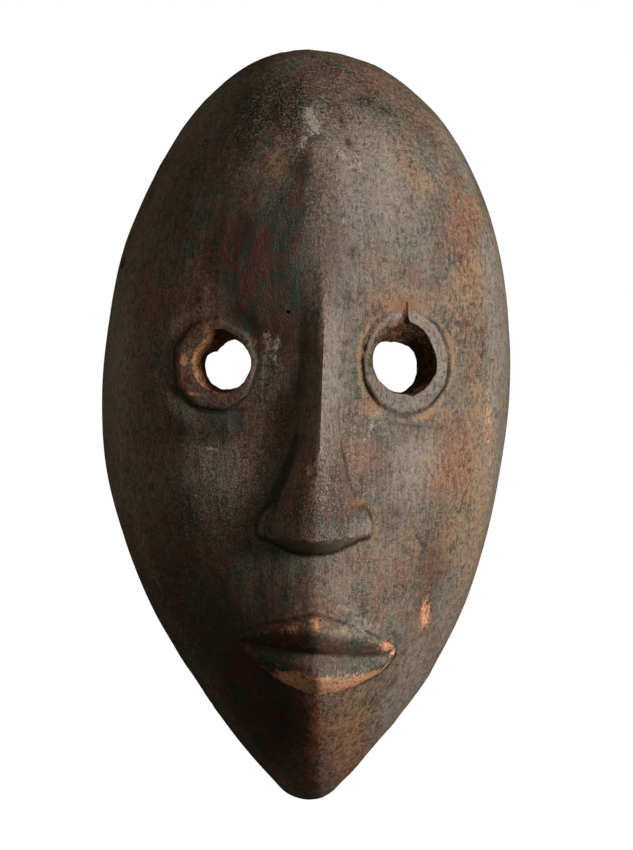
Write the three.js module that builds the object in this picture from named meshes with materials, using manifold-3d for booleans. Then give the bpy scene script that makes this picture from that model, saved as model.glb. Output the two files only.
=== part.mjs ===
// A carved wooden face mask of the Dan type, lying on the flat rim of its back with the face up.
// X runs across the face, Y from the chin to the crown and Z out of the face, in millimetres.
// The origin is under the middle of the mask, in the plane of the rim.
import * as THREE from 'three';
import { mergeVertices } from 'three/addons/utils/BufferGeometryUtils.js';
import Module from 'manifold-3d';

// Whole mask
const maskLength = 241.2;
const maskWidth = 132;
const domeHeight = 62; // plain dome at its middle, above the rim
const sideSlope = 4.6; // rise over run of the planed side wall
const wall = 10; // thickness of the wood at the rim and behind the face

// Broad forms laid on the dome
const foreheadRise = 4;
const muzzleRise = 7; // swelling that carries the mouth
const cheekFall = 4.5; // hollowing across the cheeks and the eyes

// Eyes: tubular rims that stand in sunk sockets
const socketDepth = 1.5;
const socketMargin = 5; // from the outside of the rim to the edge of the socket
const ringSink = 0.6; // top of the ring under the face as it would run without the socket
const ringFlare = 0.7; // how much wider the ring is at its foot
const crackWidth = 2.4; // crack through the top of the right ring

// Rings and see-through bores of the eyes, placed from the middle of the face. A bore narrows to a round back
const leftEye = { x: -31, y: 18.6, width: 23.9, height: 28 };
const rightEye = { x: 27.7, y: 19.1, width: 27, height: 31.4 };
const leftBore = { x: -30.3, y: 19.2, width: 20.6, height: 19.2, backX: -26.4, backY: 18.6, backWidth: 15 };
const rightBore = { x: 28.3, y: 20.1, width: 22.6, height: 22, backX: 24.6, backY: 17.9, backWidth: 15.8 };

// Nose
const noseLength = 88;
const noseWidth = 34; // across the wings
const noseHeight = 15;
const noseTip = 84.8; // from the chin to the lower edge of the nose
const wingHeight = 6.4; // the wings stand out this far beside the tip
const noseSag = 2.6; // the lower edge hangs this much lower in the middle
const noseUndercut = 4; // the steep face below the nose runs this far down the face

// Mouth
const mouthWidth = 49;
const mouthPlace = 50.5; // from the chin to the slit
const mouthOffset = 0.9; // the corners are centred this far to the right of the middle
const upperLip = 12.4; // from the upper edge to the slit
const lowerLip = 12.3; // from the slit to the lower edge
const lipRise = 5; // most of the lips' height over the face
const cornerLift = 2.6; // the corners are higher than the middle of the slit
const mouthTilt = 0.09; // the right corner is lower than the left one

// Tie holes near the rim at temple height
const tieHoleRadius = 2;
const tieHolePlace = 172.5; // from the chin
const tieHoleRise = 7; // centre of the hole above the rim

const halfLength = maskLength / 2;
const halfWidth = maskWidth / 2;
const across = (share) => share * halfWidth;
const along = (share) => share * halfLength;

// The rim seen from the front, clockwise from the crown, as shares of the half width and half length
const outlineShares = [
  [-0.02, 1], [0.345, 0.962], [0.638, 0.837], [0.848, 0.646], [0.959, 0.456], [1.009, 0.249],
  [1.012, 0.074], [0.968, -0.116], [0.892, -0.306], [0.773, -0.498], [0.582, -0.689], [0.374, -0.834],
  [0.2, -0.943], [0.12, -0.985], [0.024, -1], [-0.075, -0.985], [-0.155, -0.943], [-0.328, -0.834],
  [-0.515, -0.689], [-0.726, -0.498], [-0.872, -0.306], [-0.964, -0.116], [-0.985, 0.074],
  [-0.958, 0.249], [-0.882, 0.456], [-0.744, 0.646], [-0.526, 0.837], [-0.262, 0.963],
];
const rimCurve = new THREE.CatmullRomCurve3(
  outlineShares.map(([x, y]) => new THREE.Vector3(across(x), along(y), 0)), true, 'centripetal');
const rimSamples = rimCurve.getPoints(outlineShares.length * 24)
  .map((p) => ({ angle: Math.atan2(p.y, p.x), radius: Math.hypot(p.x, p.y) }))
  .sort((a, b) => a.angle - b.angle);

// Distance from the middle of the face to the rim in one direction
function rimRadius(angle) {
  const turn = 2 * Math.PI;
  const next = rimSamples.findIndex((s) => s.angle >= angle);
  const b = next < 0 ? { ...rimSamples[0], angle: rimSamples[0].angle + turn } : rimSamples[next];
  const a = next < 0 ? rimSamples.at(-1)
    : next > 0 ? rimSamples[next - 1] : { ...rimSamples.at(-1), angle: rimSamples.at(-1).angle - turn };
  return mapLinear(angle, a.angle, b.angle + 1e-12, a.radius, b.radius);
}

const { lerp, mapLinear } = THREE.MathUtils;
const blend = (from, to, x) => THREE.MathUtils.smoothstep((x - from) / (to - from), 0, 1);
const mound = (x, y, cx, cy, rx, ry) => Math.exp(-(((x - cx) / rx) ** 2) - ((y - cy) / ry) ** 2);

function softMin(a, b, width) {
  const h = THREE.MathUtils.clamp(0.5 + (0.5 * (b - a)) / width, 0, 1);
  return b * (1 - h) + a * h - width * h * (1 - h);
}

// Reads a value between rows of [place, value, value...], rising by place
function between(rows, place, column) {
  const next = rows.findIndex((row) => row[0] >= place);
  if (next <= 0) return next < 0 ? rows.at(-1)[column] : rows[0][column];
  const [a, b] = [rows[next - 1], rows[next]];
  return mapLinear(place, a[0], b[0], a[column], b[column]);
}

// Plain egg-shaped dome, fuller at the forehead, with a planed side wall above the rim
function dome(x, y) {
  const radius = rimRadius(Math.atan2(y, x));
  const share = Math.min(Math.hypot(x, y) / radius, 1);
  const fullness = 2.4 + 1.1 * blend(along(-0.25), along(0.75), y);
  const top = domeHeight * (1 - share ** fullness) ** 0.57;
  return softMin(top, sideSlope * (1 - share) * radius, 3);
}

// The face without its ridge and features. The hollow behind follows it.
function plainFace(x, y) {
  return dome(x, y)
    + foreheadRise * mound(x, y, 0, along(0.52), across(0.9), along(0.35))
    + muzzleRise * mound(x, y, 0, along(-0.57), across(0.46), along(0.175))
    - cheekFall * mound(x, y, 0, along(0.02), across(1.05), along(0.22))
    * blend(0, across(0.3), Math.abs(x));
}

// Ridge down the middle: [place along the face, height, width of its flanks]
const ridgeRows = [
  [-1.01, 0.6, 8], [-0.93, 4, 12], [-0.79, 7.5, 17], [-0.7, 7.5, 19], [-0.5, 2.8, 13], [-0.33, 2, 12],
  [0, 2.5, 12], [0.33, 3.2, 13], [0.5, 3, 15], [0.75, 1.8, 20], [0.93, 0.4, 20], [1, 0, 20],
];

// Its crest wanders a little: [place along the face, distance to the right of the middle]
const crestRows = [
  [-1, 4.2], [-0.93, 3.4], [-0.83, 2.2], [-0.7, 0.8], [-0.58, -0.1], [-0.48, -0.6], [-0.3, -1.5],
  [-0.2, -1.2], [0.02, 0.2], [0.22, 1.3], [0.5, 1.2], [0.95, 0.4],
];
const crest = (y) => between(crestRows, y / halfLength, 1);

function ridge(x, y) {
  const place = y / halfLength;
  return between(ridgeRows, place, 1) * Math.exp(-Math.abs(x - crest(y)) / between(ridgeRows, place, 2));
}

function sockets(x, y) {
  return [leftEye, rightEye].reduce((depth, e) => {
    const [reachX, reachY] = [e.width / 2 + socketMargin, e.height / 2 + socketMargin];
    return depth + socketDepth * blend(1.12, 0.72, Math.hypot((x - e.x) / reachX, (y - e.y) / reachY));
  }, 0);
}

const face = (x, y) => plainFace(x, y) + ridge(x, y) - sockets(x, y);

// Grid lines from -1 to 1, given as [up to this share, number of cells] from the middle outwards
function gridLines(upwards, downwards = upwards) {
  const side = (bands) => bands.flatMap(([end, cells], i) => {
    const start = i ? bands[i - 1][0] : 0;
    return Array.from({ length: cells }, (_, k) => start + ((end - start) * (k + 1)) / cells);
  });
  return [...side(downwards).map((s) => -s).reverse(), 0, ...side(upwards)];
}

// Lays a square grid over the round face, with its border on the rim.
// A place's pull is how far it goes along with the crest.
function facePlaces(columns, rows) {
  return rows.map((v) => columns.map((u) => {
    const p = u * Math.sqrt(1 - (v * v) / 2);
    const q = v * Math.sqrt(1 - (u * u) / 2);
    const pull = (1 - u * u) ** 2 * blend(1, 0.93, Math.abs(v));
    return { angle: Math.atan2(q, p), share: Math.hypot(p, q), pull };
  }));
}

// Closed solid between a grid of points and its copy on a flat floor
function solidUnder(points, floor) {
  const [rowCount, columnCount] = [points.length, points[0].length];
  const below = rowCount * columnCount;
  const at = (row, column) => row * columnCount + column;
  const index = [];
  const quad = (a, b, c, d) => index.push(a, b, c, a, c, d);
  for (let row = 0; row + 1 < rowCount; row++)
    for (let column = 0; column + 1 < columnCount; column++) {
      const [a, b] = [at(row, column), at(row, column + 1)];
      const [c, d] = [at(row + 1, column + 1), at(row + 1, column)];
      quad(a, b, c, d);
      quad(below + a, below + d, below + c, below + b);
    }

  const border = [];
  for (let column = 0; column + 1 < columnCount; column++) border.push(at(0, column));
  for (let row = 0; row + 1 < rowCount; row++) border.push(at(row, columnCount - 1));
  for (let column = columnCount - 1; column > 0; column--) border.push(at(rowCount - 1, column));
  for (let row = rowCount - 1; row > 0; row--) border.push(at(row, 0));
  const flat = points.flat();
  border.forEach((i, k) => {
    const j = border[(k + 1) % border.length];
    if (flat[i][2] > floor) quad(below + i, below + j, j, i);
  });

  const position = [...flat, ...flat.map(([x, y]) => [x, y, floor])].flat();
  return solid(new THREE.BufferGeometry()
    .setAttribute('position', new THREE.Float32BufferAttribute(position, 3))
    .setIndex(index));
}

const wasm = await Module();
wasm.setup();

function solid(geometry, matrix = new THREE.Matrix4()) {
  const bare = geometry.clone().applyMatrix4(matrix);
  bare.deleteAttribute('normal');
  bare.deleteAttribute('uv');
  const merged = mergeVertices(bare, 1e-4);
  return new wasm.Manifold(new wasm.Mesh({
    numProp: 3,
    vertProperties: merged.attributes.position.array,
    triVerts: new Uint32Array(merged.index.array),
  }));
}

function geometryOf(body) {
  const mesh = body.getMesh();
  return new THREE.BufferGeometry()
    .setAttribute('position', new THREE.BufferAttribute(mesh.vertProperties, 3))
    .setIndex(new THREE.BufferAttribute(mesh.triVerts, 1));
}

// Outside of the mask as a filled block, without the features that are set on it
function carvedBlock() {
  const columns = gridLines([[0.72, 14], [0.9, 4], [1, 3]]);
  const rows = gridLines([[0.36, 11], [0.9, 10], [1, 3]], [[0.2, 5], [0.9, 14], [1, 3]]);
  return solidUnder(facePlaces(columns, rows).map((row) => row.map(({ angle, share, pull }) => {
    const reach = share * rimRadius(angle);
    const y = reach * Math.sin(angle);
    const x = reach * Math.cos(angle) + pull * crest(y);
    return [x, y, share > 0.9999 ? 0 : face(x, y)];
  })), 0);
}

const filledTo = domeHeight / 2; // the features are filled down to here, inside the block
const sink = 0.6; // their outlines end this far under the face

// Nose, from its lower edge up: [share of its length, share of its half width, share of its height]
const noseRows = [
  [0, 1, 1], [0.03, 1, 1.01], [0.065, 0.97, 1], [0.1, 0.9, 0.98], [0.14, 0.75, 0.94], [0.215, 0.6, 0.86],
  [0.29, 0.49, 0.78], [0.38, 0.4, 0.68], [0.5, 0.36, 0.53], [0.63, 0.34, 0.38], [0.74, 0.32, 0.25],
  [0.86, 0.3, 0.12], [1, 0.24, 0],
];
const noseColumns = [0, 0.12, 0.27, 0.42, 0.55, 0.66, 0.77, 0.88, 1];

function nose() {
  const reaches = [...noseColumns.slice(1).map((c) => -c).reverse(), ...noseColumns];
  const rows = noseRows.map(([share, halfShare, heightShare]) => reaches.map((reach) => {
    const lift = noseSag * reach ** 2 * (1 - blend(0, 0.15, share));
    const y = noseTip - halfLength + share * noseLength + lift;
    const x = crest(y) * (1 - 0.6 * reach ** 2) + (reach * halfShare * noseWidth) / 2;
    const fullness = 1 + 1.2 * blend(0.42, 0.14, share);
    const body = noseHeight * heightShare * (1 - Math.abs(reach) ** fullness);
    const wing = wingHeight * (1 - 0.3 * reach ** 2)
      * blend(0.17, 0.09, share) * blend(0.3, 0.7, Math.abs(reach));
    const rise = Math.abs(reach) === 1 ? wing / 2 - sink : Math.max(body, wing);
    return [x, y, plainFace(x, y) + ridge(x, y) + rise];
  }));
  const foot = rows[0].map(([x, y, z]) => {
    const rise = z - plainFace(x, y) - ridge(x, y);
    const low = y - (noseUndercut * Math.max(rise, 0)) / noseHeight;
    return [x, low, plainFace(x, low) + ridge(x, low) - sink];
  });
  return solidUnder([foot, ...rows], filledTo);
}

// Lips: [share from the outer edge to the slit, share of the rise]
const lowerLipRows = [[0, -0.1], [0.06, 0.45], [0.4, 1], [0.72, 0.7], [1, 0.1]];
const upperLipRows = [[0.8, 0.62], [0.42, 0.9], [0.16, 0.82], [0, -0.1]];
const lipColumns = [0, 0.14, 0.28, 0.42, 0.55, 0.68, 0.8, 0.89, 0.95, 0.985];

function lips() {
  const middle = mouthPlace - halfLength;
  const reaches = [...lipColumns.slice(1).map((c) => -c).reverse(), ...lipColumns];
  const rounding = 16; // power that rounds the two edges off into the corners
  const lowerEdge = (reach) => (lowerLip + cornerLift) * (0.7 * reach ** 1.6 + 0.3 * reach ** rounding)
    - lowerLip;
  const upperEdge = (reach) => upperLip
    - (upperLip - cornerLift) * (0.82 * reach ** 1.1 + 0.18 * reach ** rounding);
  const row = (edge) => ([share, riseShare]) => reaches.map((reach) => {
    const x = lerp(crest(middle), mouthOffset, reach ** 2) + (reach * mouthWidth) / 2;
    const slit = cornerLift * (1 - Math.sqrt(1 - reach ** 2));
    const y = middle + lerp(edge(Math.abs(reach)), slit, share) - mouthTilt * x;
    const rise = lipRise * riseShare * (1 - 0.6 * Math.abs(reach) ** 2.2);
    return [x, y, plainFace(x, y) + ridge(x, y) + rise - sink * reach ** 8];
  });
  return solidUnder([...lowerLipRows.map(row(lowerEdge)), ...upperLipRows.map(row(upperEdge))], filledTo);
}

const wrap = (angle) => Math.atan2(Math.sin(angle), Math.cos(angle));

// Hollow behind the face, one wall inside the plain face, with room for a nose. It is cut from below the rim.
function hollow() {
  const lines = (cells) => gridLines([[0.85, cells], [1, 3]]);
  const nudge = 0.03;
  const points = facePlaces(lines(9), lines(13)).map((row) => row.map(({ angle, share }) => {
    const radius = rimRadius(angle);
    const lean = (rimRadius(wrap(angle + nudge)) - rimRadius(wrap(angle - nudge))) / (2 * nudge * radius);
    const inner = radius - wall * Math.hypot(1, lean);
    const [c, s] = [Math.cos(angle), Math.sin(angle)];
    const outside = share > 0.9999 ? 0 : plainFace(share * radius * c, share * radius * s);
    const [x, y] = [share * inner * c, share * inner * s];
    const noseRoom = 0.45 * noseHeight * mound(x, y, 0, along(-0.12), across(0.17), along(0.22));
    return [x, y, outside - wall * Math.min(outside / domeHeight, 1) + noseRoom];
  }));
  return solidUnder(points, -wall / 2);
}

// Tube or cone with its axis from one point to another. Radius a is at the first point.
function coneBetween(a, b, radiusA, radiusB, sides) {
  const [up, axis] = [new THREE.Vector3(0, 1, 0), b.clone().sub(a).normalize()];
  const turn = new THREE.Quaternion().setFromUnitVectors(up, axis);
  const matrix = new THREE.Matrix4().compose(a.clone().lerp(b, 0.5), turn, new THREE.Vector3(1, 1, 1));
  return solid(new THREE.CylinderGeometry(radiusB, radiusA, a.distanceTo(b), sides), matrix);
}

function slopeAt(x, y, reach) {
  return [
    (plainFace(x + reach, y) - plainFace(x - reach, y)) / (2 * reach),
    (plainFace(x, y + reach) - plainFace(x, y - reach)) / (2 * reach),
  ];
}

// Ring around an eye hole, square to the face
function eyeRing(e) {
  const [slopeX, slopeY] = slopeAt(e.x, e.y, 0.7 * e.width);
  const out = new THREE.Vector3(-slopeX, -slopeY, 1).normalize();
  const root = socketDepth + 3;
  const centre = new THREE.Vector3(e.x, e.y, plainFace(e.x, e.y) + ridge(e.x, e.y) - ringSink);
  const turn = new THREE.Quaternion().setFromUnitVectors(new THREE.Vector3(0, 0, 1), out);
  const size = new THREE.Vector3(e.width / 2, e.height / 2, 1);
  const place = new THREE.Matrix4().compose(centre.addScaledVector(out, -root / 2), turn, size);
  const foot = 1 + (2 * ringFlare * root) / (socketDepth * e.width);
  return solid(new THREE.CylinderGeometry(1, foot, root, 20).rotateX(Math.PI / 2), place);
}

// See-through hole, wider at the front. It runs on past both faces of the wall.
function eyeBore(bore) {
  const front = plainFace(bore.x, bore.y);
  const depth = wall + 2;
  const tube = new THREE.CylinderGeometry(0.5, 0.5, 3, 24).rotateX(Math.PI / 2);
  const places = tube.getAttribute('position');
  for (let i = 0; i < places.count; i++) {
    const way = places.getZ(i) + 0.5; // 0 at the back of the wall and 1 at its front
    const x = lerp(bore.backX, bore.x, way) + places.getX(i) * lerp(bore.backWidth, bore.width, way);
    const y = lerp(bore.backY, bore.y, way) + places.getY(i) * lerp(bore.backWidth, bore.height, way);
    places.setXYZ(i, x, y, front - depth * (1 - way));
  }
  return solid(tube);
}

// Crack through the top of a ring
function ringCrack(e, bore) {
  const overlap = 1.5; // it runs this far past both edges of the ring
  const [innerY, outerY] = [bore.y + bore.height / 2 - overlap, e.y + e.height / 2 + overlap];
  const height = plainFace(e.x, outerY) + ridge(e.x, outerY);
  const inner = new THREE.Vector3(e.x, innerY, height + overlap);
  const outer = new THREE.Vector3(e.x, outerY, height);
  return coneBetween(inner, outer, crackWidth * 0.6, crackWidth * 0.4, 8);
}

// Hole from the outside of the side wall to the hollow, on the right (1) or the left (-1)
function tieHole(side) {
  const height = tieHolePlace - halfLength;
  const missOf = (s) => Math.abs(s.radius * Math.sin(s.angle) - height);
  const edge = rimSamples.filter((s) => side * Math.cos(s.angle) > 0)
    .reduce((best, s) => (missOf(s) < missOf(best) ? s : best));
  const [x, y] = [edge.radius * Math.cos(edge.angle), edge.radius * Math.sin(edge.angle)];
  const half = new THREE.Vector3(-x, -0.35 * y, 0).setLength(2 * wall);
  const middle = new THREE.Vector3(x, y, tieHoleRise);
  return coneBetween(middle.clone().sub(half), middle.clone().add(half), tieHoleRadius, tieHoleRadius, 12);
}

const carved = [nose(), lips(), eyeRing(leftEye), eyeRing(rightEye)]
  .reduce((body, feature) => body.add(feature), carvedBlock());
const cuts = [
  hollow(), eyeBore(leftBore), eyeBore(rightBore), ringCrack(rightEye, rightBore), tieHole(-1), tieHole(1),
];
const mask = cuts.reduce((body, cut) => body.subtract(cut), carved);

const geometry = geometryOf(mask);
geometry.computeBoundingBox();
const middle = geometry.boundingBox.getCenter(new THREE.Vector3());
geometry.translate(-middle.x, -middle.y, 0);
geometry.computeVertexNormals();

const wood = new THREE.MeshStandardMaterial({ color: 0x3d2c26, roughness: 0.5, metalness: 0 });
const maskMesh = new THREE.Mesh(geometry, wood);
maskMesh.name = 'mask';

const group = new THREE.Group();
group.add(maskMesh);

export default group;
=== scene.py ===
# A carved wooden face mask, lying on the flat rim of its back with the face up.
# Sizes of the carving are in millimetres, and the finished mesh is in metres.
import math

import bpy
import numpy as np
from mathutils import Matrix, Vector


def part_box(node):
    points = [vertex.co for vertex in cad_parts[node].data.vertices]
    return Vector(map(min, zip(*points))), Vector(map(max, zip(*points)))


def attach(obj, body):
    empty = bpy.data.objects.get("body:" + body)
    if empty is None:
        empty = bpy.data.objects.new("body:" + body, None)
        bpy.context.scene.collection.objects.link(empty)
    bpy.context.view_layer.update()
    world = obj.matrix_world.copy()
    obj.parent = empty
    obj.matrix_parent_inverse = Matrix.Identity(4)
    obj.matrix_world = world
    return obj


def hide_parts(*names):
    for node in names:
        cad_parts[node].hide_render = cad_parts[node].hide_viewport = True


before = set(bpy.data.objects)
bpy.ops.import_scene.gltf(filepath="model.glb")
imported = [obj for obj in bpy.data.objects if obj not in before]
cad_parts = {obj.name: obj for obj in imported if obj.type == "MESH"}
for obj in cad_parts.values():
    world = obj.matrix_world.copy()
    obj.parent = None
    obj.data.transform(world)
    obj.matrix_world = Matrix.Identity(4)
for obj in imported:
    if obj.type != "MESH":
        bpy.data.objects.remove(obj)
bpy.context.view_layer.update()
mm = 0.001
turn = 2 * math.pi
maskLow, maskHigh = (np.array(corner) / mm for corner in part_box("mask"))

mask = {
    "domeHeight": 62, "domeRoundness": 0.57, "fullness": 2.4, "crownFullness": 1.1,
    "sideSlope": 4.6, "sideBlend": 3, "edgeRounding": 1.2, "edgeInset": 0.35, "wall": 10,
    "cellsAcross": 238, "cellsAlong": 320,          # fine grid of the outside
    "hollowAcross": 96, "hollowAlong": 128,         # coarser grid of the hollow
    "rimShare": 0.9999,                             # places beyond this share of the way out are on the rim
    "sharpAngle": 50,
}

# The rim seen from the front, clockwise from the crown, as shares of the half width and half length
outlineShares = [
    (-0.02, 1), (0.345, 0.962), (0.638, 0.837), (0.848, 0.646), (0.959, 0.456), (1.009, 0.249),
    (1.012, 0.074), (0.968, -0.116), (0.892, -0.306), (0.773, -0.498), (0.582, -0.689), (0.374, -0.834),
    (0.2, -0.943), (0.12, -0.985), (0.024, -1), (-0.075, -0.985), (-0.155, -0.943), (-0.328, -0.834),
    (-0.515, -0.689), (-0.726, -0.498), (-0.872, -0.306), (-0.964, -0.116), (-0.985, 0.074),
    (-0.958, 0.249), (-0.882, 0.456), (-0.744, 0.646), (-0.526, 0.837), (-0.262, 0.963)]


def closedSpline(points, steps):          # smooth curve through the points, with steps between each two
    p = np.array(points, float)
    u = np.linspace(0, 1, steps, endpoint=False)[:, None]
    stretches = []
    for i in range(len(p)):
        a, b, c, d = p[i - 1], p[i], p[(i + 1) % len(p)], p[(i + 2) % len(p)]
        before, here, after = (np.linalg.norm(end - start) ** 0.5 for start, end in ((a, b), (b, c), (c, d)))
        leave = ((b - a) / before - (c - a) / (before + here) + (c - b) / here) * here
        arrive = ((c - b) / here - (d - b) / (here + after) + (d - c) / after) * here
        stretches.append(b + leave * u + (3 * (c - b) - 2 * leave - arrive) * u**2
                         + (2 * (b - c) + leave + arrive) * u**3)
    return np.concatenate(stretches)


# The half sizes come from the frame. Carving coordinates have x = 0 down the middle of the face.
boxSize = maskHigh - maskLow
halfLength = boxSize[1] / 2
outline = closedSpline([(x * boxSize[0] / 2, y * halfLength) for x, y in outlineShares], 24)
halfWidth = boxSize[0] ** 2 / 2 / np.ptp(outline[:, 0])
outline[:, 0] *= 2 * halfWidth / boxSize[0]
outlineMiddle = (outline.max(0) + outline.min(0)) / 2
rowMiddle = np.append(((maskLow + maskHigh) / 2)[:2] - outlineMiddle, 0)
rimAngles = np.arctan2(outline[:, 1], outline[:, 0])
rimOrder = np.argsort(rimAngles)
rimAngles, rimRadii = rimAngles[rimOrder], np.hypot(*outline[rimOrder].T)


def across(share):
    return share * halfWidth


def along(share):
    return share * halfLength


def rimRadius(angle):
    return np.interp(angle, rimAngles, rimRadii, period=turn)


def blend(start, end, x):
    t = np.clip((x - start) / (end - start), 0, 1)
    return t * t * (3 - 2 * t)


def mound(x, y, middleX, middleY, radiusX, radiusY):
    return np.exp(-((x - middleX) / radiusX) ** 2 - ((y - middleY) / radiusY) ** 2)


def softMin(a, b, width):
    h = np.clip(0.5 + 0.5 * (b - a) / width, 0, 1)
    return b * (1 - h) + a * h - width * h * (1 - h)


def softMax(a, b, width):
    return -softMin(-a, -b, width)


def fromRows(rows, place, column):
    table = np.array(rows)
    return np.interp(place, table[:, 0], table[:, column])


def randomCorner(ix, iy, iz, seed):
    h = (ix * 73856093) ^ (iy * 19349663) ^ (iz * 83492791) ^ (seed * 265443577)
    h = ((h ^ (h >> 13)) & 0xffffff) * 1274126177 & 0xffffffff
    return ((h ^ (h >> 16)) & 0xffff) / 0xffff


def roughness(x, y, z, size, seed):          # smooth noise from -1 to 1, lumps about as wide as size
    px, py, pz = (np.broadcast_to(np.asarray(v, float), np.shape(x + y + z)) / size for v in (x, y, z))
    ix, iy, iz = (np.floor(v).astype(np.int64) for v in (px, py, pz))
    fx, fy, fz = (blend(0, 1, v - i) for v, i in ((px, ix), (py, iy), (pz, iz)))
    total = 0
    for dx in (0, 1):
        for dy in (0, 1):
            for dz in (0, 1):
                weight = (fx if dx else 1 - fx) * (fy if dy else 1 - fy) * (fz if dz else 1 - fz)
                total = total + weight * randomCorner(ix + dx, iy + dy, iz + dz, seed)
    return 2 * total - 1


def layered(x, y, z, size, seed, layers):
    return sum(roughness(x, y, z, size / 2**k, seed + k) / 2**k for k in range(layers))


# Broad form: egg-shaped dome with a planed side wall
def dome(x, y):
    radius = rimRadius(np.arctan2(y, x))
    share = np.minimum(np.hypot(x, y) / radius, 1)
    fullness = mask["fullness"] + mask["crownFullness"] * blend(along(-0.25), along(0.75), y)
    top = mask["domeHeight"] * (1 - share**fullness) ** mask["domeRoundness"]
    return softMin(top, mask["sideSlope"] * (1 - share) * radius, mask["sideBlend"])


# What swells the dome, or sinks the cheeks: height, and its place and spread as shares of the half sizes
swellings = {
    "forehead": {"height": 4, "place": 0.52, "across": 0.9, "along": 0.35},
    "muzzle": {"height": 7, "place": -0.57, "across": 0.46, "along": 0.175},
    "cheeks": {"height": 4.5, "place": 0.02, "across": 1.05, "along": 0.22, "fromMiddle": 0.3},
}


def swelling(x, y, name):
    spot = swellings[name]
    return spot["height"] * mound(x, y, 0, along(spot["place"]), across(spot["across"]), along(spot["along"]))


def plainFace(x, y):
    fallen = swelling(x, y, "cheeks") * blend(0, across(swellings["cheeks"]["fromMiddle"]), np.abs(x))
    return dome(x, y) + swelling(x, y, "forehead") + swelling(x, y, "muzzle") - fallen


# Ridge down the middle: place along the face, height, width of its flanks
ridgeRows = [
    (-1.01, 0.6, 8), (-0.93, 4, 12), (-0.79, 7.5, 17), (-0.7, 7.5, 19), (-0.5, 2.8, 13), (-0.33, 2, 12),
    (0, 2.5, 12), (0.33, 3.2, 13), (0.5, 3, 15), (0.75, 1.8, 20), (0.93, 0.4, 20), (1, 0, 20)]

# Its crest wanders a little: place along the face, distance to the right of the middle
crestRows = [
    (-1, 4.2), (-0.93, 3.4), (-0.83, 2.2), (-0.7, 0.8), (-0.58, -0.1), (-0.48, -0.6), (-0.3, -1.5),
    (-0.2, -1.2), (0.02, 0.2), (0.22, 1.3), (0.5, 1.2), (0.95, 0.4)]

# It is rubbed round, most on the nose between these heights
ridgeWear = {"everywhere": 0.7, "onNose": 3.5, "noseTop": (-4, -20), "noseTip": (-44, -36)}


def crest(y):
    return fromRows(crestRows, y / halfLength, 1)


def ridge(x, y):
    place = y / halfLength
    rounding = (ridgeWear["everywhere"]
                + ridgeWear["onNose"] * blend(*ridgeWear["noseTop"], y) * blend(*ridgeWear["noseTip"], y))
    height, flank = fromRows(ridgeRows, place, 1), fromRows(ridgeRows, place, 2)
    return height * np.exp(-np.hypot(x - crest(y), rounding) / flank)


# Each ring has its corners at these angles, and each bore its own outline: degrees, share at front and back
eyes = {
    "socketDepth": 1.5, "socketMargin": 5, "socketEdge": (1.12, 0.72), "slopeReach": 0.7, "flankSlope": 3.5,
    "cornerRounding": 0.3, "edgeDrop": 0.2, "seam": 0.5,
    "boreMargin": 2, "boreRings": 40,               # a bore tapers over the wall and this margin
    "left": {
        "x": -31, "y": 18.6, "width": 23.9, "height": 28, "sink": 0.6, "tilt": 0,
        "corners": [-152, -118, -78, -40, 4, 38, 84, 121, 158],
        "bore": {"x": -30.3, "y": 19.2, "width": 20.6, "height": 19.2,
                 "backX": -26.4, "backY": 18.6, "backWidth": 15, "unevenness": 0.04, "seed": 41},
        "outline": [(-150, 1, 0.98), (-100, 1, 1.02), (-50, 1, 0.98), (0, 1, 1), (40, 0.98, 1),
                    (65, 1.02, 0.96), (95, 1.1, 0.56), (125, 0.97, 0.56), (155, 1.02, 0.9), (180, 1.02, 1)]},
    "right": {
        "x": 27.7, "y": 19.1, "width": 27, "height": 31.4, "sink": 1, "tilt": 0.06,
        "corners": [-160, -128, -98, -61, -24, 14, 47, 78, 110, 142, 172],
        "bore": {"x": 28.3, "y": 20.1, "width": 22.6, "height": 22,
                 "backX": 24.6, "backY": 17.9, "backWidth": 15.8, "unevenness": 0.05, "seed": 53},
        "outline": [(-150, 1, 0.96), (-109, 1, 0.95), (-75, 1.07, 0.98), (-51, 1.06, 0.95), (-31, 0.97, 1.06),
                    (5, 1, 0.98), (37, 1, 0.9), (71, 1.02, 0.7), (108, 0.98, 0.7), (131, 0.95, 0.96),
                    (165, 1, 1.04)]},
}


def eyeReach(x, y, eye, margin=0):        # share of the way out from the middle of a ring to its edge
    halfX, halfY = eye["width"] / 2 + margin, eye["height"] / 2 + margin
    return np.hypot((x - eye["x"]) / halfX, (y - eye["y"]) / halfY)


def sockets(x, y):
    reaches = (eyeReach(x, y, eyes[side], eyes["socketMargin"]) for side in ("left", "right"))
    return sum(eyes["socketDepth"] * blend(*eyes["socketEdge"], reach) for reach in reaches)


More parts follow.
